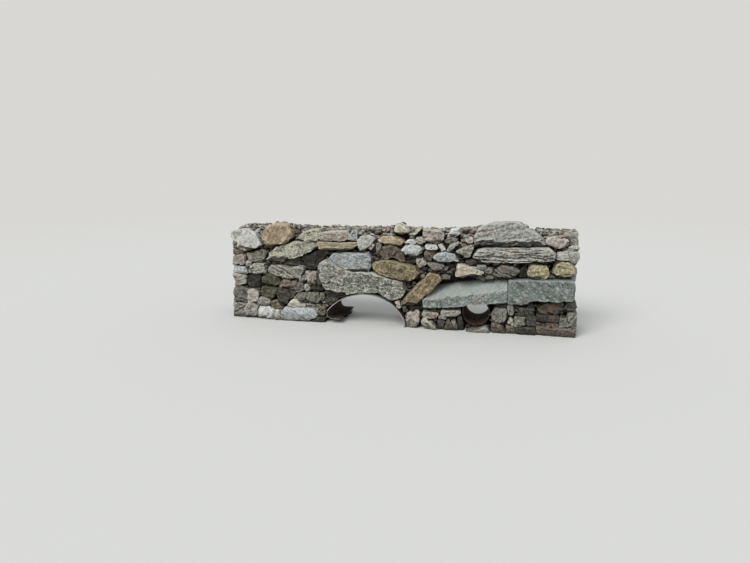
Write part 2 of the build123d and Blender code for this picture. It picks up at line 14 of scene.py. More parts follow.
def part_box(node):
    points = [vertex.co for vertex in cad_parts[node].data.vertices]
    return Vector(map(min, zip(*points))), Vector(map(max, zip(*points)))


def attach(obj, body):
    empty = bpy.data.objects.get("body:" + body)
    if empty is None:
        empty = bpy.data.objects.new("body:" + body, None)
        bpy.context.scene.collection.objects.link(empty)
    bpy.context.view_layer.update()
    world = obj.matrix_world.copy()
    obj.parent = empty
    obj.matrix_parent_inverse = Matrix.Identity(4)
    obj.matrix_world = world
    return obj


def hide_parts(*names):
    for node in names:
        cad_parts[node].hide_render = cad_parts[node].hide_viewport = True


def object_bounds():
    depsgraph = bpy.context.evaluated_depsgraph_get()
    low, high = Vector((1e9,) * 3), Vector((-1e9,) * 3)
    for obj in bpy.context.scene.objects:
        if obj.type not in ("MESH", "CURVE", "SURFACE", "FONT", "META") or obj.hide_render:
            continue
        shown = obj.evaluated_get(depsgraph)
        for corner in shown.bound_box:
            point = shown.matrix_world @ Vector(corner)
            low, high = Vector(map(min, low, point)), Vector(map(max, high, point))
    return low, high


bl_info = {
    "name": "Culvert Headwall",
    "version": (1, 0, 0),
    "blender": (4, 5, 0),
    "location": "View3D > Sidebar > Headwall",
    "description": "Dresses a dry-laid rubble headwall and its corrugated pipes",
    "category": "Mesh",
}

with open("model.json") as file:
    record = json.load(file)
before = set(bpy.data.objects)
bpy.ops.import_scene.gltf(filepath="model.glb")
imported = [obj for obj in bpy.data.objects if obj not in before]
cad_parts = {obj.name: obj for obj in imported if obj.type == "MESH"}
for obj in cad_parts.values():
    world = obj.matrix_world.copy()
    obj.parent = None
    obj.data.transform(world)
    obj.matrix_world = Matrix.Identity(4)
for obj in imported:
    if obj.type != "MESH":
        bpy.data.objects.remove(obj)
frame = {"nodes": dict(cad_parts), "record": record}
cad_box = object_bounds()
MM = 0.001
# The battered face, the rear face and the top of the wall behind its cope stones, in metres
FACE_FOOT = -0.44
BATTER = 0.1
REAR_FACE = 0.46
BED_TOP = 1.7
# The camera's place in metres, and which way its right and its top point
CAMERA_PLACE = (1.848, -10.110, 2.838)
CAMERA_RIGHT = (0.9755, 0.2198, 0.0)
CAMERA_UP = (-0.0438, 0.1945, 0.9799)

# Rocks. Each has the colour of its open face, of its shaded veins and of its pale flecks,
# then how strongly it is banded, speckled, lichened and mossed, how many passes of wear
# round its arrises, how far its layers step back in millimetres and how deep it is chipped.
Rock = namedtuple("Rock", "face vein fleck bands grain lichen moss wear ledge chips")

rocks = {
    "speckled granite": Rock("#74756C", "#37382F", "#CFCEC2", 0.2, 1.0, 0.4, 0.12, 1, 6, 0.9),
    "silver gneiss": Rock("#94958E", "#55544E", "#C9C8C0", 0.6, 0.8, 0.25, 0.05, 2, 7, 0.7),
    "blue gneiss": Rock("#8F9493", "#545A5A", "#C9CCCA", 0.5, 0.9, 0.15, 0.0, 0, 6, 0.8),
    "blue granite": Rock("#979C9C", "#636868", "#C6C9C8", 0.6, 0.6, 0.1, 0.0, 0, 5, 0.8),
    "green gneiss": Rock("#5D625F", "#2F3432", "#9AA09A", 0.6, 0.7, 0.1, 0.05, 0, 4, 0.35),
    "pale green gneiss": Rock("#80857F", "#464B46", "#BCC2BC", 0.55, 0.8, 0.1, 0.0, 0, 4, 0.3),
    "grey gneiss": Rock("#827F77", "#454339", "#BDBAAE", 0.6, 0.9, 0.25, 0.08, 1, 9, 1.0),
    "sooty gneiss": Rock("#625F58", "#35332E", "#96938A", 0.6, 0.8, 0.25, 0.1, 1, 9, 1.0),
    "pale granite": Rock("#999891", "#64635D", "#D0D0C9", 0.25, 0.8, 0.3, 0.05, 1, 6, 0.9),
    "laminated gneiss": Rock("#8F8E85", "#282722", "#C6C4BA", 1.0, 0.45, 0.1, 0.0, 0, 30, 0.6),
    "tan sandstone": Rock("#837765", "#4B4136", "#B9AC96", 0.7, 0.5, 0.15, 0.1, 0, 8, 0.6),
    "ochre sandstone": Rock("#695E47", "#332B1F", "#AA9D80", 0.5, 0.8, 0.25, 0.3, 1, 7, 0.9),
    "umber sandstone": Rock("#685A46", "#33291F", "#B0A081", 0.6, 0.6, 0.05, 0.05, 0, 8, 0.7),
    "brown schist": Rock("#594F43", "#2C2722", "#8E8273", 0.5, 0.8, 0.15, 0.2, 1, 8, 1.2),
    "orange granite": Rock("#A19378", "#775848", "#C9BCA2", 0.3, 0.5, 0.1, 0.0, 3, 4, 0.8),
    "cream quartz": Rock("#A59F8D", "#6E6757", "#D3CEBE", 0.35, 0.6, 0.2, 0.05, 1, 7, 1.0),
    "white quartz": Rock("#B4B6B3", "#7C7E7B", "#E2E3E0", 0.35, 0.6, 0.0, 0.0, 1, 6, 1.0),
    "pink granite": Rock("#989086", "#5C554D", "#CAC1B6", 0.4, 0.9, 0.15, 0.05, 1, 7, 1.0),
    "dark schist": Rock("#35322D", "#191715", "#625E56", 0.5, 0.8, 0.15, 0.2, 1, 8, 1.2),
    "olive schist": Rock("#383629", "#1D1B15", "#67644F", 0.4, 0.9, 0.15, 0.4, 1, 8, 1.1),
    "mossy gneiss": Rock("#656259", "#393730", "#9A988A", 0.4, 0.9, 0.25, 0.3, 1, 8, 1.0),
    # The next rock is near black, a painted shadow given to stones that stand in deep shade between others
    "black schist": Rock("#23211E", "#121110", "#4A4741", 0.4, 0.7, 0.05, 0.1, 1, 8, 1.0),
    "lichened sandstone": Rock("#958C6E", "#5A5340", "#C4BD9C", 0.1, 0.8, 0.45, 0.2, 1, 6, 1.0),
    "lichened granite": Rock("#929082", "#55534A", "#C6C4B0", 0.25, 0.9, 0.7, 0.15, 1, 8, 1.0),
}

# Every node's stones from left to right: the rock, and how its beds lie on the face, in
# degrees up to the right.
facing = {
    "arch_lintel": [("speckled granite", -8)],
    "toe_block": [("blue granite", -30)],
    "lintel_cap": [("blue gneiss", -14)],
    "mossy_bearer": [("ochre sandstone", -16)],
    "leaning_brace": [("umber sandstone", 42)],
    "side_lintel": [("pale green gneiss", 38)],
    "squared_block": [("green gneiss", -36)],
    "laminated_slab": [("laminated gneiss", 2)],
    "right_cope": [("silver gneiss", 12)],
    "left_cope_slab": [("pale granite", -30)],
    "round_boulder": [("orange granite", 60)],
    "lichen_block": [("lichened granite", 10)],
    "lichen_stones": [("lichened sandstone", 5), ("lichened sandstone", -10)],
    "left_mid_block": [("grey gneiss", -22)],
    "left_lower_blocks": [("olive schist", -8), ("dark schist", -20)],
    "green_round_stone": [("mossy gneiss", 30)],
    "tan_layers": [("pink granite", 0), ("tan sandstone", 0)],
    "brown_wedge": [("brown schist", -8)],
    "cope_boulders": [
        ("lichened granite", 15), ("pale granite", 50), ("orange granite", 0),
        ("white quartz", -30), ("pink granite", 20),
    ],
    "right_wedges": [("cream quartz", -10), ("sooty gneiss", -20)],
    "pier_block": [("pink granite", 80)],
    "side_pipe_block": [("sooty gneiss", 50)],
    "pale_green_wedge": [("blue gneiss", 4)],
    "left_haunch_stones": [("brown schist", 0), ("dark schist", 15), ("black schist", 20)],
    "left_low_stones": [
        ("grey gneiss", 20), ("sooty gneiss", -20), ("grey gneiss", 10), ("pink granite", 30),
        ("grey gneiss", -20), ("white quartz", 60), ("brown schist", 10), ("pale granite", 80),
        ("dark schist", 10), ("cream quartz", -25), ("sooty gneiss", 10), ("grey gneiss", 0),
        ("dark schist", 0), ("sooty gneiss", 80), ("brown schist", 30),
    ],
    "left_mid_stones": [
        ("grey gneiss", 0), ("black schist", 10), ("olive schist", -15), ("brown schist", 5),
        ("sooty gneiss", 20), ("grey gneiss", 40), ("grey gneiss", 70), ("pink granite", 80),
        ("black schist", 0), ("dark schist", 60),
    ],
    "left_high_stones": [
        ("sooty gneiss", 20), ("brown schist", 0), ("pink granite", 60), ("blue gneiss", 10),
        ("pink granite", 40), ("mossy gneiss", 10), ("grey gneiss", 0), ("dark schist", 0),
        ("black schist", 0),
    ],
    "pier_stones": [
        ("pink granite", -30), ("brown schist", 40), ("dark schist", 10), ("black schist", 0),
        ("cream quartz", -50), ("grey gneiss", 0), ("dark schist", 60), ("sooty gneiss", 0),
        ("grey gneiss", 4), ("brown schist", 70), ("sooty gneiss", 70), ("black schist", 80),
    ],
    "right_low_stones": [
        ("pale granite", 0), ("brown schist", 10), ("black schist", 0), ("sooty gneiss", 70),
        ("grey gneiss", 60), ("brown schist", 15), ("mossy gneiss", 0), ("dark schist", 0),
        ("dark schist", 10), ("dark schist", 20), ("brown schist", 15), ("black schist", 5),
        ("dark schist", -10), ("sooty gneiss", 20), ("brown schist", 0), ("dark schist", 0),
        ("sooty gneiss", 60),
    ],
    "right_high_stones": [
        ("green gneiss", 0), ("sooty gneiss", 20), ("black schist", 70), ("pink granite", -10),
        ("silver gneiss", 10), ("grey gneiss", 0),
    ],
    "centre_cope_stones": [
        ("blue gneiss", 60), ("pink granite", 50), ("sooty gneiss", 60), ("cream quartz", -20),
        ("white quartz", -20), ("lichened granite", 30), ("grey gneiss", -20), ("grey gneiss", 60),
        ("brown schist", 0), ("white quartz", 0), ("sooty gneiss", -10), ("pale granite", -40),
        ("sooty gneiss", 20), ("grey gneiss", 40), ("white quartz", 0), ("grey gneiss", 5),
        ("pink granite", 40),
    ],
}
coursed_rocks = (
    "grey gneiss", "sooty gneiss", "green gneiss", "tan sandstone", "pink granite", "silver gneiss",
)
rear = (
    "back_left_stones", "back_arch_stones", "back_pier_stones", "back_side_pipe_stones",
    "back_right_stones",
)
ends = {"left_end_stones": Vector((-1, 0, 0)), "right_end_stones": Vector((1, 0, 0))}
hearting = (
    "left_hearting", "arch_hearting", "pier_hearting", "side_pipe_hearting", "right_hearting",
)
barrels = ("arch_barrel", "side_barrel")
record_slots = {part["node"]: part["material_slot"] for part in frame["record"]["subparts"]}


def linear(colour):
    """The linear colour of an sRGB hex value."""
    parts = [int(colour[place : place + 2], 16) / 255 for place in (1, 3, 5)]
    return [part / 12.92 if part <= 0.04045 else ((part + 0.055) / 1.055) ** 2.4 for part in parts]


def tint(name, description, colour):
    return FloatVectorProperty(
        name=name, description=description, subtype="COLOR", size=3, min=0, max=1, default=linear(colour)
    )


def length(name, description, millimetres):
    return FloatProperty(
        name=name, description=description, subtype="DISTANCE", unit="LENGTH", min=0,
        default=millimetres * MM,
    )


class StoneSettings(PropertyGroup):
    """How the stones are split, worn and weathered."""

    spacing: length("Mesh Spacing", "Distance between points on a dressed stone", 13)
    rear_spacing: length("Rear Mesh Spacing", "The same for the stones of the rear and the ends", 24)
    swell: length("Swell", "How far a stone fills the joint round it before it is broken", 10)
    chip_depth: length("Chip Depth", "Most that a flat fracture takes off a stone", 40)
    spall_depth: length("Spall Depth", "Depth of a small flake broken off the face", 11)
    roughness: length("Roughness", "Depth of the broken surface", 8)
    bed_height: length("Bed Height", "Mean height of one layer in a layered rock", 34)
    keep: FloatProperty(
        name="Faces Kept", description="Share of the faces kept where a stone is flat",
        subtype="FACTOR", min=0.05, max=1, default=0.4,
    )
    damp_height: length("Damp Height", "Height of the wet band at the foot of the wall", 150)
    lichen: tint("Lichen", "Pale crusts on open faces", "#C0BEA0")
    moss: tint("Moss", "Moss on the upper edges", "#545236")
    # This colour is dirt in the cracks, and also the painted shade in hollows, under stones and deep in the
    # wall
    soil_and_shade: tint("Soil", "Dirt deep in the joints", "#1F1B17")
    iron: tint("Iron Stain", "Rust-brown weathering", "#8A6846")
    wet: tint("Wet Stone", "Wet stone against the same stone dry", "#9B978E")


class RubbleSettings(PropertyGroup):
    """The small stones wedged in the joints and packed behind the facing."""

    pin_pitch: length("Pin Search", "Distance between the places where a pin is tried", 36)
    least_pin: length("Least Pin", "Smallest half width of a gap that takes a pin", 14)
    largest_pin: length("Largest Pin", "Largest half width of a pin", 62)
    capping_pitch: length("Capping Pitch", "Distance between small stones along the top", 64)
    open_top: length("Open Top", "Height up to which the top takes small rubble", 1745)
    cope_inset: length("Cope Inset", "Distance from the face to the first small stone on top", 110)
    core_spacing: length("Core Spacing", "Distance between points on the core", 30)
    core_pitch: length("Core Pitch", "Size of the stones packed in the core", 90)
    core_relief: length("Core Relief", "Depth of the hollows between the core's stones", 30)
    seed: IntProperty(name="Seed", description="Start of the random series", default=19)


class PipeSettings(PropertyGroup):
    """The two corrugated steel barrels."""

    pitch: length("Wave Pitch", "Length of one corrugation", 68)
    depth: length("Wave Depth", "Height of one corrugation", 13)
    zinc: tint("Zinc", "Dull weathered galvanising", "#74736E")
    rust: tint("Rust", "Rust where the zinc is gone", "#4B382B")
    bloom: tint("Deep Rust", "Dark old rust and silt", "#28211D")
    # The pale cut end is partly scoured zinc and partly a painted highlight on the first crest
    cut: tint("Cut End", "Zinc scoured pale at the open end", "#B4B5B2")


class StageSettings(PropertyGroup):
    """The plain floor, the light and the camera."""

    floor: tint("Floor", "Pale studio floor", "#D8D7D3")
    lens: FloatProperty(name="Lens", description="Focal length on a 36 mm sensor", default=27.02)
    sun: FloatProperty(name="Key Light", description="Strength of the soft key light", min=0, default=2.1)
    sky: FloatProperty(name="Fill Light", description="Strength of the even fill light", min=0, default=0.62)


def add_node(tree, kind, settings=None, inputs=None):
    """Adds a node, applies its settings, and sets or links each named input."""
    made = tree.nodes.new(kind)
    for name, value in (settings or {}).items():
        setattr(made, name, value)
    for name, value in (inputs or {}).items():
        if isinstance(value, bpy.types.NodeSocket):
            tree.links.new(value, made.inputs[name])
        else:
            made.inputs[name].default_value = value
    return made


def new_material(name):
    """An empty node material, its tree and its Principled shader."""
    material = bpy.data.materials.new(name)
    material.use_nodes = True
    return material, material.node_tree, material.node_tree.nodes["Principled BSDF"]


def opaque(colour):
    return (*colour, 1.0)


def weathered_rock(name, rock, settings):
    """Split, weathered stone: mottled, veined along its beds, flecked, lichened and damp below."""
    material, tree, shader = new_material(name)
    beds = add_node(tree, "ShaderNodeAttribute", {"attribute_name": "bedding"}).outputs["Vector"]
    tone, depth_shade, crease = (
        add_node(tree, "ShaderNodeAttribute", {"attribute_name": fact}).outputs["Fac"]
        for fact in ("tone", "depth_shade", "crease")
    )
    place = add_node(tree, "ShaderNodeTexCoord").outputs["Object"]
    height = add_node(tree, "ShaderNodeSeparateXYZ", inputs={"Vector": place}).outputs["Z"]
    normal = add_node(tree, "ShaderNodeNewGeometry").outputs["Normal"]
    facing_up = add_node(tree, "ShaderNodeSeparateXYZ", inputs={"Vector": normal}).outputs["Z"]

    # Each cloud's size in millimetres, its detail, its roughness and how far the beds flatten it.
    # Crystals are 2 to 5 mm and slits 1 to 3 mm, drawn 20 mm and 8 mm wide so that they show.
    cloud = {}
    for title, (size, detail, roughness, flattened) in {
        "mottling": (150, 4, 0.55, 1),
        "veins": (260, 5, 0.62, 9),
        "streaks": (210, 4, 0.6, 14),
        "blotches": (52, 4, 0.68, 1),
        "crystals": (24, 4, 0.8, 1.8),
        "slits": (300, 3, 0.5, 12),
        "stains": (320, 4, 0.55, 1),
        "crusts": (55, 5, 0.7, 1),
        "cushions": (90, 4, 0.65, 1),
        "damp": (180, 3, 0.55, 1),
    }.items():
        spot = add_node(
            tree, "ShaderNodeMapping", inputs={"Vector": beds, "Scale": (1, 1, flattened)}
        ).outputs["Vector"]
        cloud[title] = add_node(
            tree, "ShaderNodeTexNoise",
            inputs={"Vector": spot, "Scale": 1 / (size * MM), "Detail": detail, "Roughness": roughness},
        ).outputs["Fac"]
    # How far the edge of the damp wanders up and down
    wander = 160 * MM
    wet_edge = add_node(
        tree, "ShaderNodeMath", {"operation": "MULTIPLY_ADD"}, {0: cloud["damp"], 1: -wander, 2: height}
    ).outputs[0]

    # The share of each coat: what it follows, where that starts and ends, and the share there
    share = {}
    for title, (value, start, end, least, most) in {
        "mottled": (cloud["mottling"], 0.42, 0.64, 0, 0.7),
        "veined": (cloud["veins"], 0.47, 0.63, 0, rock.bands),
        "streaked": (cloud["streaks"], 0.5, 0.66, 0, 0.8 * rock.bands),
        "pitted": (cloud["blotches"], 0.47, 0.36, 0, 0.8 * rock.grain),
        "broken": (cloud["blotches"], 0.54, 0.65, 0, 0.8),
        "flecked": (cloud["crystals"], 0.52, 0.62, 0, rock.grain),
        "peppered": (cloud["crystals"], 0.49, 0.36, 0, 0.8 * rock.grain),
        "split": (cloud["slits"], 0.565, 0.6, 0, rock.bands**2),
        "stained": (cloud["stains"], 0.56, 0.74, 0, 0.4),
        "lichened": (cloud["crusts"], 0.53, 0.62, 0, rock.lichen),
        "open to light": (facing_up, -0.5, 0.35, 0.35, 1),
        "mossed": (cloud["cushions"], 0.44, 0.6, 0, rock.moss),
        "level": (facing_up, -0.15, 0.55, 0, 1),
        "toned": (tone, -1, 1, 0.8, 1.22),
        # Upper faces are painted paler: a painted highlight of light from above
        "painted_top_light": (facing_up, 0.4, 0.9, 0, 0.5),
        "scuffed": (crease, -0.03, -0.16, 0, 0.55),
        # Hollows are painted dark: painted shade in the creases
        "painted_crease_shade": (crease, 0.05, 0.2, 0, 0.7),
        # Undersides are painted dark: painted shade under the stones
        "painted_underside_shade": (facing_up, -0.1, -0.7, 0, 0.8),
        # What lies deep in the wall is painted dark: painted shade
        "painted_depth_shade": (depth_shade, 0.05, 0.6, 0, 0.95),
        "wet": (wet_edge, settings.damp_height - wander / 2, -wander / 2, 0, 1),
    }.items():
        share[title] = add_node(
            tree, "ShaderNodeMapRange", {"interpolation_type": "SMOOTHSTEP"},
            {"Value": value, "From Min": start, "From Max": end, "To Min": least, "To Max": most},
        ).outputs["Result"]
    for title, side in (("lichened", "open to light"), ("mossed", "level")):
        share[title] = add_node(
            tree, "ShaderNodeMath", {"operation": "MULTIPLY"}, {0: share[title], 1: share[side]}
        ).outputs[0]

    # Each coat lies over those before it. First mottling of the size of a hand, veins 15 to 40 mm
    # thick along the beds, pits and clean breaks of 20 to 50 mm, crystals, and growth on what is
    # open to the sky. Then upper beds get a painted highlight, arrises are scuffed, and hollows,
    # undersides and what lies deep in the wall get painted shade.
    colour, vein, fleck = (opaque(linear(shade)) for shade in (rock.face, rock.vein, rock.fleck))
    soil_and_shade = opaque(settings.soil_and_shade)
    for kind, amount, coat in (
        ("MIX", share["mottled"], vein), ("MIX", share["veined"], vein),
        ("MIX", share["streaked"], fleck), ("MIX", share["pitted"], vein),
        ("MIX", share["broken"], fleck), ("MIX", share["flecked"], fleck),
        ("MIX", share["peppered"], vein), ("MIX", share["split"], soil_and_shade),
        ("MIX", share["stained"], opaque(settings.iron)),
        ("MIX", share["lichened"], opaque(settings.lichen)),
        ("MIX", share["mossed"], opaque(settings.moss)),
        ("MULTIPLY", 1.0, share["toned"]),
        ("MIX", share["painted_top_light"], fleck), ("MIX", share["scuffed"], fleck),
        ("MIX", share["painted_crease_shade"], soil_and_shade), ("MIX", share["painted_underside_shade"], soil_and_shade),
        ("MIX", share["painted_depth_shade"], soil_and_shade),
        ("MULTIPLY", share["wet"], opaque(settings.wet)),
    ):
        colour = add_node(
            tree, "ShaderNodeMix", {"data_type": "RGBA", "blend_type": kind},
            {0: amount, 6: colour, 7: coat},
        ).outputs[2]
    sheen = add_node(
        tree, "ShaderNodeMapRange", {"interpolation_type": "SMOOTHSTEP"},
        {"Value": share["wet"], "To Min": 0.88, "To Max": 0.5},
    ).outputs["Result"]
    relief = share["veined"]
    for title, weight in (("crystals", 0.35), ("blotches", 1.6)):
        relief = add_node(
            tree, "ShaderNodeMath", {"operation": "MULTIPLY_ADD"}, {0: cloud[title], 1: weight, 2: relief}
        ).outputs[0]
    bump = add_node(
        tree, "ShaderNodeBump",
        inputs={"Height": relief, "Strength": 0.25 + 0.6 * rock.grain, "Distance": 9 * MM},
    ).outputs["Normal"]
    for socket, value in (("Base Color", colour), ("Roughness", sheen), ("Normal", bump)):
        tree.links.new(value, shader.inputs[socket])
    shader.inputs["Specular IOR Level"].default_value = 0.35
    return material


def rusted_zinc(settings):
    """Hot-dip galvanised sheet gone dull, with rust spreading up from its foot."""
    material, tree, shader = new_material("galvanised_sheet_gone_to_rust")
    place = add_node(tree, "ShaderNodeTexCoord").outputs["Object"]
    parts = add_node(tree, "ShaderNodeSeparateXYZ", inputs={"Vector": place}).outputs

    # Rust in patches 120 mm wide, old dark rust in patches of 60 mm, and a skin of 9 mm flakes
    cloud = {}
    for title, (size, detail) in {"patches": (120, 5), "old rust": (60, 4), "flakes": (9, 4)}.items():
        cloud[title] = add_node(
            tree, "ShaderNodeTexNoise",
            inputs={"Vector": place, "Scale": 1 / (size * MM), "Detail": detail, "Roughness": 0.65},
        ).outputs["Fac"]
    patches = add_node(
        tree, "ShaderNodeMath", {"operation": "MULTIPLY"}, {0: cloud["patches"], 1: 0.9}
    ).outputs[0]
    rusting = add_node(
        tree, "ShaderNodeMath", {"operation": "SUBTRACT"}, {0: patches, 1: parts["Z"]}
    ).outputs[0]

    # The first 20 mm of the sheet behind its open end are scoured pale, with a painted highlight
    share = {}
    for title, (value, start, end, most) in {
        "rusted": (rusting, -0.1, 0.16, 1),
        "old": (cloud["old rust"], 0.42, 0.62, 1),
        "scoured_and_highlit": (parts["Y"], FACE_FOOT + 5 * MM, FACE_FOOT - 15 * MM, 0.8),
    }.items():
        share[title] = add_node(
            tree, "ShaderNodeMapRange", {"interpolation_type": "SMOOTHSTEP"},
            {"Value": value, "From Min": start, "From Max": end, "To Max": most},
        ).outputs["Result"]
    rust = add_node(
        tree, "ShaderNodeMix", {"data_type": "RGBA"},
        {0: share["old"], 6: opaque(settings.rust), 7: opaque(settings.bloom)},
    ).outputs[2]
    colour = opaque(settings.zinc)
    for title, coat in (("rusted", rust), ("scoured_and_highlit", opaque(settings.cut))):
        colour = add_node(
            tree, "ShaderNodeMix", {"data_type": "RGBA"}, {0: share[title], 6: colour, 7: coat}
        ).outputs[2]
    for socket, zinc, rusty in (("Metallic", 0.55, 0.0), ("Roughness", 0.48, 0.9)):
        graded = add_node(
            tree, "ShaderNodeMapRange", {"interpolation_type": "SMOOTHSTEP"},
            {"Value": share["rusted"], "To Min": zinc, "To Max": rusty},
        )
        tree.links.new(graded.outputs["Result"], shader.inputs[socket])
    bump = add_node(
        tree, "ShaderNodeBump", inputs={"Height": cloud["flakes"], "Strength": 0.5, "Distance": 2 * MM}
    )
    tree.links.new(colour, shader.inputs["Base Color"])
    tree.links.new(bump.outputs["Normal"], shader.inputs["Normal"])
    return material


def rock_materials(names):
    """The materials of these rocks, each made once."""
    settings = bpy.context.scene.headwall_stones
    made = []
    for name in names:
        title = "split_" + name.replace(" ", "_")
        found = bpy.data.materials.get(title)
        made.append(found or weathered_rock(title, rocks[name], settings))
    return made


def mesh_of(shape, name):
    """The mesh of a bmesh, which is then done with."""
    mesh = bpy.data.meshes.new(name)
    shape.to_mesh(mesh)
    shape.free()
    return mesh


def cad_copy(node):
    """A bmesh of a node's mesh, with the corners of its triangles joined."""
    solid = bmesh.new()
    solid.from_mesh(frame["nodes"][node].data)
    bmesh.ops.remove_doubles(solid, verts=solid.verts, dist=0.01 * MM)
    return solid


def middle(stone):
    """Twice the middle of a stone along x, z and y."""
    along = [[vert.co[axis] for vert in stone.verts] for axis in (0, 2, 1)]
    return [min(places) + max(places) for places in along]


def loose_stones(solid):
    """Each separate stone of a bmesh as its own, from left to right, then upwards, then back."""
    solid.verts.index_update()
    waiting = set(solid.verts)
    stones = []
    while waiting:
        reached, edge = set(), [waiting.pop()]
        while edge:
            vert = edge.pop()
            reached.add(vert.index)
            near = {link.other_vert(vert) for link in vert.link_edges} & waiting
            waiting -= near
            edge += near
        stone = solid.copy()
        stone.verts.index_update()
        others = [vert for vert in stone.verts if vert.index not in reached]
        bmesh.ops.delete(stone, geom=others, context="VERTS")
        stones.append(stone)
    return sorted(stones, key=middle)


def face_at(height):
    """How far back the battered face stands at a height."""
    return FACE_FOOT + BATTER * height


def modified(mesh, kind, settings):
    """The mesh after one modifier."""
    holder = bpy.data.objects.new("holder", mesh)
    bpy.context.scene.collection.objects.link(holder)
    modifier = holder.modifiers.new(kind.lower(), kind)
    for name, value in settings.items():
        setattr(modifier, name, value)
    depsgraph = bpy.context.evaluated_depsgraph_get()
    made = bpy.data.meshes.new_from_object(holder.evaluated_get(depsgraph))
    bpy.data.objects.remove(holder)
    bpy.data.meshes.remove(mesh)
    return made


def chipped(places, outward, chances, depth):
    """Presses points that stand past a few random fracture planes flat onto them."""
    size = np.ptp(places, axis=0)
    deepest = min(depth, 0.2 * min(size[axis] for axis in range(3) if abs(outward[axis]) < 0.5))
    # Four planes nearly along the face, then six that break its corners
    for count, lean, share in ((4, 0.3, 0.7), (6, 1.3, 0.6)):
        for _ in range(count):
            normal = np.array(outward) + [chances.uniform(-lean, lean) for _ in range(3)]
            normal /= np.linalg.norm(normal)
            along = places @ normal
            cut = deepest * share * chances.uniform(0.35, 1.0)
            places -= np.maximum(along - (along.max() - cut), 0)[:, None] * normal
    return places


def spalled(places, normals, outward, chances, bite):
    """Breaks small flakes off the open face, each down to a slanted plane."""
    # Eight flakes and one more for each 60 square centimetres
    fewest, area_each = 8, 0.006
    open_depth, widest = 160 * MM, 320 * MM
    depth = (places @ np.array(outward)).max() - places @ np.array(outward)
    open_points = np.flatnonzero(depth < open_depth)
    size = np.ptp(places, axis=0)
    wide, tall = (size[axis] for axis in range(3) if abs(outward[axis]) < 0.5)
    for _ in range(int(fewest + wide * tall / area_each)):
        index = open_points[chances.randrange(len(open_points))]
        radius = min(wide, tall, widest) * chances.uniform(0.2, 0.5)
        normal = normals[index] + [chances.uniform(-0.4, 0.4) for _ in range(3)]
        normal /= np.linalg.norm(normal)
        offset = places - places[index]
        fade = np.clip(3 * (1 - np.linalg.norm(offset, axis=1) / radius), 0, 1)
        cut = bite * chances.uniform(0.2, 1.0)
        places -= (np.clip(offset @ normal + cut, 0, 2 * cut) * fade)[:, None] * normal
    return places


def corners(mesh):
    """The points of a mesh and their normals."""
    places, normals = np.empty(3 * len(mesh.vertices)), np.empty(3 * len(mesh.vertices))
    mesh.vertices.foreach_get("co", places)
    mesh.vertices.foreach_get("normal", normals)
    return places.reshape(-1, 3), normals.reshape(-1, 3)


def creases(mesh):
    """How hollow the surface is at each point, negative on an arris."""
    places, normals = corners(mesh)
    ends = np.array([edge.vertices for edge in mesh.edges])
    total, count, run = np.zeros_like(places), np.zeros(len(places)), np.zeros(len(places))
    steps = np.linalg.norm(places[ends[:, 0]] - places[ends[:, 1]], axis=1)
    for here, there in ((0, 1), (1, 0)):
        np.add.at(total, ends[:, here], places[ends[:, there]])
        np.add.at(count, ends[:, here], 1)
        np.add.at(run, ends[:, here], steps)
    hollow = ((total / count[:, None] - places) * normals).sum(axis=1) / (run / count)
    spread = np.zeros(len(places))
    for here, there in ((0, 1), (1, 0)):
        np.add.at(spread, ends[:, here], hollow[ends[:, there]])
    return 0.5 * hollow + 0.5 * spread / count


def painted_depth_shade(places, normals):
    """Painted shade by how deep each point lies in the wall, from 0 near an open side to 1; upper beds less.
    """
    open_rim, sunlit, shade = 50 * MM, 200 * MM, 150 * MM
    low, high = cad_box
    across, along, height = places.T
    depth = np.minimum.reduce(
        [across - low.x, high.x - across, along - face_at(height), REAR_FACE - along, BED_TOP - height]
    )
    return np.clip((depth - open_rim - sunlit * np.clip(normals[:, 2], 0, 1)) / shade, 0, 1)


def clear_of(pipes, places):
    """Which points lie clear of the pipes."""
    room = 40 * MM
    if pipes.find_nearest(places.mean(axis=0), np.ptp(places, axis=0).max())[0] is None:
        return np.ones(len(places), dtype=bool)
    return np.array([pipes.find_nearest(place, room)[0] is None for place in places])


def broken_relief(places, normals, rock, bed_normal, shift, seed):
    """How far the broken surface stands off each point, rough and stepped back layer by layer."""
    settings = bpy.context.scene.headwall_stones
    # Waves a metre in the break, its fractal's fall-off, step up and octaves, and how the
    # layers sway and ripple, in waves a metre and layers high
    waves, fractal, swaying = 9, (0.85, 2.2, 4), ((3, 1.7), (9, 0.8))
    own = [Vector(place) + shift for place in places]
    rough = np.array([noise.fractal(point * waves, *fractal) for point in own])
    drift = [sum(high * noise.noise(point * often) for often, high in swaying) for point in own]
    layer = np.floor(places @ bed_normal / settings.bed_height + np.array(drift))
    steps = {number: noise.cell(Vector((number, seed, 0))) for number in set(layer)}
    step = np.array([steps[number] for number in layer]) * (1 - np.abs(normals @ bed_normal))
    return rough * settings.roughness * (0.4 + 0.6 * rock.chips) - step * rock.ledge * MM


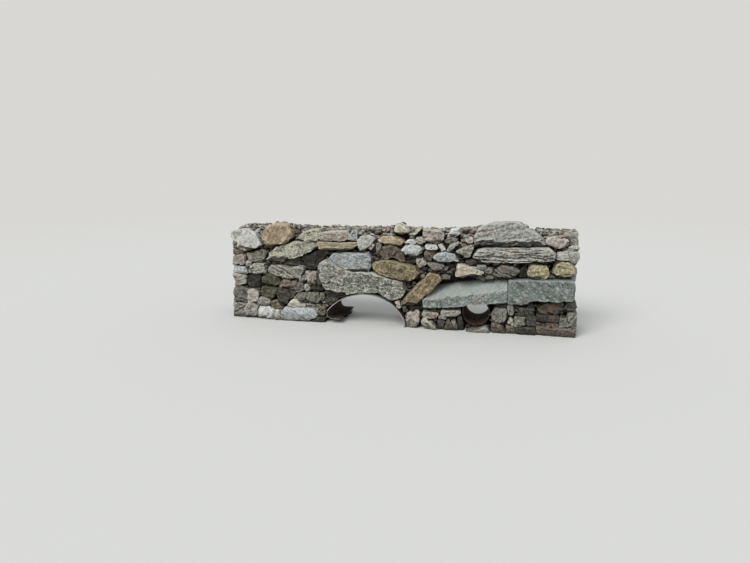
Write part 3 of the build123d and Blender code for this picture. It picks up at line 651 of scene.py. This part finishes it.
def dressed_stone(stone, rock, bedding, outward, seed, spacing, pipes):
    """One plain solid split, worn and roughened into a stone, with its point attributes."""
    settings = bpy.context.scene.headwall_stones
    chances = random.Random(seed)
    mesh = modified(mesh_of(stone, "stone"), "REMESH", {"mode": "VOXEL", "voxel_size": spacing})
    if rock.wear:
        mesh = modified(mesh, "SMOOTH", {"factor": 0.5, "iterations": rock.wear})
    places, normals = corners(mesh)
    free = clear_of(pipes, places)
    places += normals * (settings.swell * free)[:, None]
    places = chipped(places, outward, chances, settings.chip_depth * rock.chips)
    places = spalled(places, normals, outward, chances, settings.spall_depth * rock.chips)
    mesh.vertices.foreach_set("co", places.ravel())
    mesh.update()

    # The face is fully broken for 120 mm, and the tail a quarter as much. Beds turn a few degrees
    # from what is given, and each stone's pattern lies up to 40 m off, so that none repeats.
    face_depth, fade, tail_share = 120 * MM, 100 * MM, 0.25
    turn_on_face, turn_into_wall, apart = 6, 12, 40
    places, normals = corners(mesh)
    on_face = math.radians(-bedding + chances.uniform(-turn_on_face, turn_on_face))
    into_wall = math.radians(chances.uniform(-turn_into_wall, turn_into_wall))
    tilt = Matrix.Rotation(on_face, 3, "Y") @ Matrix.Rotation(into_wall, 3, "X")
    shift = Vector([chances.uniform(-apart, apart) for _ in range(3)])
    depth = (places @ np.array(outward)).max() - places @ np.array(outward)
    open_face = np.clip(1 - (depth - face_depth) / fade, tail_share, 1)
    bed_normal = np.array(tilt @ Vector((0, 0, 1)))
    moved = broken_relief(places, normals, rock, bed_normal, shift, seed) * open_face
    moved = np.where(free, moved, np.minimum(moved, -1 * MM))
    places += normals * moved[:, None]
    places[:, 2] = np.maximum(places[:, 2], 0)
    mesh.vertices.foreach_set("co", places.ravel())
    mesh = modified(mesh, "DECIMATE", {"ratio": settings.keep})

    places, normals = corners(mesh)
    shared_tone = chances.uniform(-1, 1)
    inverse = tilt.inverted()
    facts = [
        (inverse @ (Vector(place) + shift), shared_tone, depth_shade, crease)
        for place, depth_shade, crease in zip(places, painted_depth_shade(places, normals), creases(mesh))
    ]
    return mesh, facts


def finished_piece(name, meshes, facts, materials, slots):
    """One object of several stones, with each point's bedding place, tone, depth of painted shade and
    crease.
    """
    arris = math.radians(38)
    whole = bmesh.new()
    for mesh, slot in zip(meshes, slots):
        mesh.polygons.foreach_set("material_index", [slot] * len(mesh.polygons))
        whole.from_mesh(mesh)
        bpy.data.meshes.remove(mesh)
    mesh = mesh_of(whole, name)
    beds, *shares = zip(*facts)
    layer = mesh.attributes.new("bedding", "FLOAT_VECTOR", "POINT")
    layer.data.foreach_set("vector", [number for place in beds for number in place])
    for attribute, values in zip(("tone", "depth_shade", "crease"), shares, strict=True):
        mesh.attributes.new(attribute, "FLOAT", "POINT").data.foreach_set("value", values)
    for material in materials:
        mesh.materials.append(material)
    mesh.shade_smooth()
    mesh.set_sharp_from_angle(angle=arris)
    piece = bpy.data.objects.new(name, mesh)
    bpy.context.scene.collection.objects.link(piece)
    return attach(piece, "root")


def search_tree(nodes):
    """A search tree of some nodes, as dressed stones or rubble where they are made."""
    solids = bmesh.new()
    for node in nodes:
        made = bpy.data.objects.get(node + "_dressed") or bpy.data.objects.get(node + "_rubble")
        solids.from_mesh((made or frame["nodes"][node]).data)
    tree = bvhtree.BVHTree.FromBMesh(solids)
    solids.free()
    return tree


def dress_node(node, kinds, outward, spacing, pipes):
    """Replaces a node by its dressed stones. kinds gives each stone's rock and bedding."""
    stones = loose_stones(cad_copy(node))
    used = sorted({rock for rock, _ in kinds})
    meshes, facts, slots = [], [], []
    for index, (stone, (rock, bedding)) in enumerate(zip(stones, kinds, strict=True)):
        # Each stone has a random series of its own
        seed = sum(map(ord, node)) * 31 + index
        mesh, own = dressed_stone(stone, rocks[rock], bedding, outward, seed, spacing, pipes)
        meshes.append(mesh)
        facts += own
        slots.append(used.index(rock))
    piece = finished_piece(node + "_dressed", meshes, facts, rock_materials(used), slots)
    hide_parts(node)


def chamfered_block():
    """The block that every small stone is broken from, 1.5 wide for planes at 0.4 to 0.8."""
    block = bmesh.new()
    bmesh.ops.create_cube(block, size=1.5)
    bmesh.ops.bevel(
        block, geom=block.edges[:], offset=0.28, segments=1, profile=0.5, affect="EDGES", material=-1
    )
    return block


def broken_stone(block, place, radii, chances):
    """The mesh of one small split stone, a block pressed onto random planes, turned and placed."""
    planes = 9
    turn = Euler([chances.uniform(0, math.tau) for _ in range(3)]).to_matrix()
    stone = block.copy()
    for _ in range(planes):
        normal = Vector([chances.gauss(0, 1) for _ in range(3)]).normalized()
        limit = chances.uniform(0.4, 0.8)
        for vert in stone.verts:
            vert.co -= normal * max(vert.co.dot(normal) - limit, 0)
    for vert in stone.verts:
        vert.co = Vector(place) + Vector([part * radius for part, radius in zip(turn @ vert.co, radii)])
    return mesh_of(stone, "stone")


def rubble_facts(mesh, tone, depth_shade):
    """The point attributes of a small stone, which is too small to have beds of its own."""
    return [(vert.co.copy(), tone, depth_shade, 0.0) for vert in mesh.vertices]


class HEADWALL_OT_facing(Operator):
    """Dress the stones of the front face"""

    bl_idname = "headwall.facing"
    bl_label = "Facing Stones"

    def execute(self, context):
        spacing = context.scene.headwall_stones.spacing
        pipes = search_tree(barrels)
        for node, kinds in facing.items():
            dress_node(node, kinds, Vector((0, -1, 0)), spacing, pipes)
        return {"FINISHED"}


class HEADWALL_OT_rear(Operator):
    """Dress the coursed stones of the rear and of both ends"""

    bl_idname = "headwall.rear"
    bl_label = "Rear and End Stones"

    def execute(self, context):
        spacing = context.scene.headwall_stones.rear_spacing
        pipes = search_tree(barrels)
        outwards, slope = {node: Vector((0, 1, 0)) for node in rear} | ends, 8
        for node, outward in outwards.items():
            chances = random.Random(len(node))
            count = len(loose_stones(cad_copy(node)))
            kinds = [(chances.choice(coursed_rocks), chances.uniform(-slope, slope)) for _ in range(count)]
            dress_node(node, kinds, outward, spacing, pipes)
        return {"FINISHED"}


class HEADWALL_OT_core(Operator):
    """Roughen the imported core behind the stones"""

    bl_idname = "headwall.core"
    bl_label = "Core"

    def execute(self, context):
        settings = context.scene.headwall_rubble
        # The core is painted half in shade all over
        steepness, depth_shade = 4, 0.5
        for node in hearting:
            mesh = mesh_of(cad_copy(node), node)
            mesh = modified(mesh, "REMESH", {"mode": "VOXEL", "voxel_size": settings.core_spacing})
            for vert in mesh.vertices:
                nearest = noise.voronoi(vert.co / settings.core_pitch)[0]
                valley = 1 - min(1, (nearest[1] - nearest[0]) * steepness)
                vert.co -= vert.normal * settings.core_relief * valley
                vert.co.z = max(vert.co.z, 0)
            facts = rubble_facts(mesh, 0.0, depth_shade)
            piece = finished_piece(node + "_rubble", [mesh], facts, rock_materials(["brown schist"]), [0])
            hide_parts(node)
        return {"FINISHED"}


def laid_rubble(name, used, depth_shade, palest, places, chances):
    """One piece of small broken stones, with the middle and the radii of each from places."""
    block, meshes, facts, slots = chamfered_block(), [], [], []
    for place, radii in places:
        meshes.append(broken_stone(block, place, radii, chances))
        facts += rubble_facts(meshes[-1], chances.uniform(-1, palest), depth_shade)
        slots.append(chances.randrange(len(used)))
    block.free()
    return finished_piece(name, meshes, facts, rock_materials(used), slots)


def capping_places(settings, chances):
    """Where small rubble lies on the stones' tails and the core along the top."""
    tree = search_tree([node for node in record_slots if node not in barrels])
    low, high = cad_box
    pitch, proportions = settings.capping_pitch, (1.25, 1.1, 0.8)
    # The lowest bed that takes rubble, and how far that may stand above the beds beside it
    lowest, proud = 1.2, 50 * MM
    # In sizes of a stone: how high the first lies, how far on each next, and the step for one more
    bedded, next_up, step_each = 0.25, 1.1, 1.3

    def ground_at(x, y):
        hit = tree.ray_cast(Vector((x, y, high.z + 1)), Vector((0, 0, -1)))[0]
        return hit.z if hit else 0.0

    for column in range(int((high.x - low.x) / pitch)):
        for row in range(int((high.y - low.y) / pitch)):
            x = low.x + (column + chances.random()) * pitch
            y = low.y + (row + chances.random()) * pitch
            ground = ground_at(x, y)
            around = sorted(
                ground_at(x + across, y + along)
                for across, along in ((pitch, 0), (-pitch, 0), (0, pitch), (0, -pitch))
            )
            if min(ground, around[0]) < lowest or ground > min(settings.open_top, around[1] + proud):
                continue
            if y < face_at(ground) + settings.cope_inset:
                continue
            # Larger stones, and more of them, lie against a step
            step = max(0, around[-1] - ground)
            size = chances.uniform(0.4, 0.76) * pitch + 0.2 * min(step, 120 * MM)
            for layer in range(1 + int(min(step, 250 * MM) / (step_each * size))):
                place = Vector((x, y, ground + (bedded + next_up * layer) * size))
                yield place, [size * part for part in proportions]


def pin_places(settings, chances):
    """Where a small stone fits in an open joint of the front face."""
    near = search_tree([*facing, *barrels])
    low, high = cad_box
    pitch, proportions, laid = settings.pin_pitch, (1.8, 1.6, 1.2), []
    # Pins lie below the cope stones, off both ends, behind the face and clear of each other
    top, end, cover, crowding = 1.55, 100 * MM, 30 * MM, 0.8
    # A pin is wedged a little larger than its gap, and clear of the ground
    wedged, least_lift = 1.15, 1.4
    openings = [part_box(node) for node in (*barrels, "side_lintel")]
    for column in range(int((high.x - low.x) / pitch)):
        for row in range(int((high.z - low.z) / pitch)):
            x = low.x + (column + chances.random()) * pitch
            z = (row + chances.random()) * pitch
            point = Vector((x, face_at(z) + chances.uniform(80 * MM, 160 * MM), z))
            inside = any(box[0].x < x < box[1].x and box[0].z < z < box[1].z for box in openings)
            if inside or z > top or not low.x + end < x < high.x - end:
                continue
            hit = near.ray_cast(Vector((x, low.y - 0.1, z)), Vector((0, 1, 0)))[0]
            if hit is not None and hit.y < point.y + cover:
                continue
            gap = near.find_nearest(point)[3]
            size = min(gap * wedged, settings.largest_pin)
            if gap < settings.least_pin or z < least_lift * size:
                continue
            if any((point - other).length < (size + wide) * crowding for other, wide in laid):
                continue
            laid.append((point, size))
            yield point, [size * part for part in proportions]


class HEADWALL_OT_capping(Operator):
    """Lay small rubble over the stones' tails and the core along the top"""

    bl_idname = "headwall.capping"
    bl_label = "Capping Rubble"

    def execute(self, context):
        settings = context.scene.headwall_rubble
        chances = random.Random(settings.seed)
        used = (
            "sooty gneiss", "brown schist", "grey gneiss", "pink granite", "tan sandstone", "pale granite",
        )
        # The capping gets a little painted shade
        depth_shade, palest, places = 0.15, 1, capping_places(settings, chances)
        piece = laid_rubble("capping_rubble", used, depth_shade, palest, places, chances)
        return {"FINISHED"}


class HEADWALL_OT_pins(Operator):
    """Wedge small stones into the open joints of the front face"""

    bl_idname = "headwall.pins"
    bl_label = "Pinning Stones"

    def execute(self, context):
        settings = context.scene.headwall_rubble
        chances = random.Random(settings.seed)
        used = ("sooty gneiss", "brown schist", "dark schist", "grey gneiss", "pink granite")
        # The pins get some painted shade
        depth_shade, palest, places = 0.3, 0.6, pin_places(settings, chances)
        piece = laid_rubble("pinning_stones", used, depth_shade, palest, places, chances)
        return {"FINISHED"}


def sliced_sheet(node, start, half):
    """A copy of a barrel, cut across three times in each half wave so that it can bend."""
    sheet = cad_copy(node)
    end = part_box(node)[1].y
    cuts = (0.2, 0.5, 0.8)
    for step in range(round((end - start) / half)):
        for part in cuts:
            bmesh.ops.bisect_plane(
                sheet, geom=[*sheet.verts, *sheet.edges, *sheet.faces], dist=0.001 * MM,
                plane_co=(0, start + (step + part) * half, 0), plane_no=(0, 1, 0),
            )
    return sheet


def round_wave(sheet, middle, start, half, depth):
    """Turns the straight flanks of a barrel's corrugations into a rounded wave."""
    for vert in sheet.verts:
        step = math.floor((vert.co.y - start) / half + 1e-4)
        part = (vert.co.y - start) / half - step
        rise = (1 - math.cos(math.pi * part)) / 2 - part
        if step % 2:
            rise = -rise
        away = Vector((vert.normal.x, 0, vert.normal.z)).normalized()
        if away.dot(Vector((vert.co.x - middle.x, 0, vert.co.z - middle.z))) < 0:
            away = -away
        if 0.01 < part < 0.99:
            vert.co += away * rise * depth


class HEADWALL_OT_pipes(Operator):
    """Form both corrugated barrels with a rounded wave"""

    bl_idname = "headwall.pipes"
    bl_label = "Corrugated Barrels"

    def execute(self, context):
        settings = context.scene.headwall_pipes
        zinc, cut_edge = rusted_zinc(settings), math.radians(40)
        for node in barrels:
            low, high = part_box(node)
            waves = round((high.y - low.y) / settings.pitch)
            half = (high.y - low.y) / waves / 2
            # A point inside, from which the whole sheet curves round
            inside = high.z / 2 if node == "side_barrel" else 150 * MM
            sheet = sliced_sheet(node, low.y, half)
            round_wave(sheet, Vector(((low.x + high.x) / 2, 0, inside)), low.y, half, settings.depth)
            mesh = mesh_of(sheet, node)
            mesh.materials.append(zinc)
            mesh.shade_smooth()
            mesh.set_sharp_from_angle(angle=cut_edge)
            piece = bpy.data.objects.new(node + "_sheet", mesh)
            context.scene.collection.objects.link(piece)
            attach(piece, "root")
            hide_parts(node)
        return {"FINISHED"}


def studio_floor(pale):
    """A round plain floor that turns into the backdrop's even tone far away."""
    material, tree, shader = new_material("studio_floor")
    # In metres from its middle
    turns_even, all_even, edge = 9.0, 26.0, 70.0
    place = add_node(tree, "ShaderNodeTexCoord").outputs["Object"]
    away = add_node(tree, "ShaderNodeVectorMath", {"operation": "LENGTH"}, {0: place}).outputs["Value"]
    far = add_node(
        tree, "ShaderNodeMapRange", {"interpolation_type": "SMOOTHSTEP"},
        {"Value": away, "From Min": turns_even, "From Max": all_even},
    ).outputs["Result"]
    shader.inputs["Base Color"].default_value = pale
    shader.inputs["Roughness"].default_value = 0.9
    shader.inputs["Specular IOR Level"].default_value = 0.1
    glow = add_node(tree, "ShaderNodeEmission", inputs={"Color": pale, "Strength": 1.0})
    mixed = add_node(
        tree, "ShaderNodeMixShader",
        inputs={0: far, 1: shader.outputs["BSDF"], 2: glow.outputs["Emission"]},
    )
    tree.links.new(mixed.outputs["Shader"], tree.nodes["Material Output"].inputs["Surface"])
    ground = bmesh.new()
    bmesh.ops.create_circle(ground, cap_ends=True, segments=96, radius=edge)
    mesh = mesh_of(ground, "floor")
    mesh.materials.append(material)
    return bpy.data.objects.new("floor", mesh)


def studio_world(pale, strength):
    """Even fill light from all round, seen by the camera and by gloss as the pale backdrop."""
    daylight = (0.93, 0.97, 1.0, 1.0)
    world = bpy.data.worlds.new("studio")
    world.use_nodes = True
    sky = world.node_tree
    background = sky.nodes["Background"]
    background.inputs["Color"].default_value = daylight
    background.inputs["Strength"].default_value = strength
    ray = add_node(sky, "ShaderNodeLightPath").outputs
    shown = add_node(
        sky, "ShaderNodeMath", {"operation": "MAXIMUM"}, {0: ray["Is Camera Ray"], 1: ray["Is Glossy Ray"]}
    )
    backdrop = add_node(sky, "ShaderNodeBackground", inputs={"Color": pale, "Strength": 1.0})
    mixed = add_node(
        sky, "ShaderNodeMixShader",
        inputs={0: shown.outputs[0], 1: background.outputs[0], 2: backdrop.outputs[0]},
    )
    sky.links.new(mixed.outputs[0], sky.nodes["World Output"].inputs["Surface"])
    return world


class HEADWALL_OT_stage(Operator):
    """Set out the plain floor, the soft light and the camera"""

    bl_idname = "headwall.stage"
    bl_label = "Stage"

    def execute(self, context):
        settings = context.scene.headwall_stage
        scene = context.scene
        pale = opaque(settings.floor)
        floor = studio_floor(pale)
        scene.collection.objects.link(floor)
        scene.world = studio_world(pale, settings.sky)

        # In degrees: the light's width, its lean from overhead and its bearing
        width, lean, bearing = (math.radians(degrees) for degrees in (38, 48, -28))
        key = bpy.data.lights.new("key", "SUN")
        key.energy = settings.sun
        key.angle = width
        lamp = bpy.data.objects.new("key", key)
        lamp.rotation_euler = Euler((lean, 0, bearing))
        scene.collection.objects.link(lamp)

        view = bpy.data.cameras.new("camera")
        view.lens = settings.lens
        view.sensor_width = 36
        view.clip_end = 300
        camera = bpy.data.objects.new("camera", view)
        right, up = Vector(CAMERA_RIGHT), Vector(CAMERA_UP)
        turn = Matrix((right, up, right.cross(up))).transposed().to_4x4()
        camera.matrix_world = Matrix.Translation(CAMERA_PLACE) @ turn
        scene.collection.objects.link(camera)
        scene.camera = camera
        scene.view_settings.view_transform = "Standard"
        return {"FINISHED"}


class HEADWALL_PT_panel(Panel):
    """Lists the steps that dress the headwall"""

    bl_idname = "HEADWALL_PT_panel"
    bl_label = "Culvert Headwall"
    bl_space_type = "VIEW_3D"
    bl_region_type = "UI"
    bl_category = "Headwall"

    def draw(self, context):
        for operator in operators:
            self.layout.operator(operator.bl_idname)
        for name in pointers:
            group = getattr(context.scene, name)
            box = self.layout.box()
            for prop in type(group).__annotations__:
                box.prop(group, prop)


operators = (
    HEADWALL_OT_stage, HEADWALL_OT_pipes, HEADWALL_OT_facing, HEADWALL_OT_rear, HEADWALL_OT_core,
    HEADWALL_OT_capping, HEADWALL_OT_pins,
)
pointers = {
    "headwall_stones": StoneSettings,
    "headwall_rubble": RubbleSettings,
    "headwall_pipes": PipeSettings,
    "headwall_stage": StageSettings,
}
classes = (*pointers.values(), *operators, HEADWALL_PT_panel)


def register():
    for part in classes:
        bpy.utils.register_class(part)
    for name, group in pointers.items():
        setattr(bpy.types.Scene, name, PointerProperty(type=group))


def unregister():
    for name in pointers:
        delattr(bpy.types.Scene, name)
    for part in reversed(classes):
        bpy.utils.unregister_class(part)


def main():
    register()
    bpy.ops.headwall.stage()
    bpy.ops.headwall.pipes()
    bpy.ops.headwall.facing()
    bpy.ops.headwall.rear()
    bpy.ops.headwall.core()
    bpy.ops.headwall.capping()
    bpy.ops.headwall.pins()


if __name__ == "__main__":
    main()
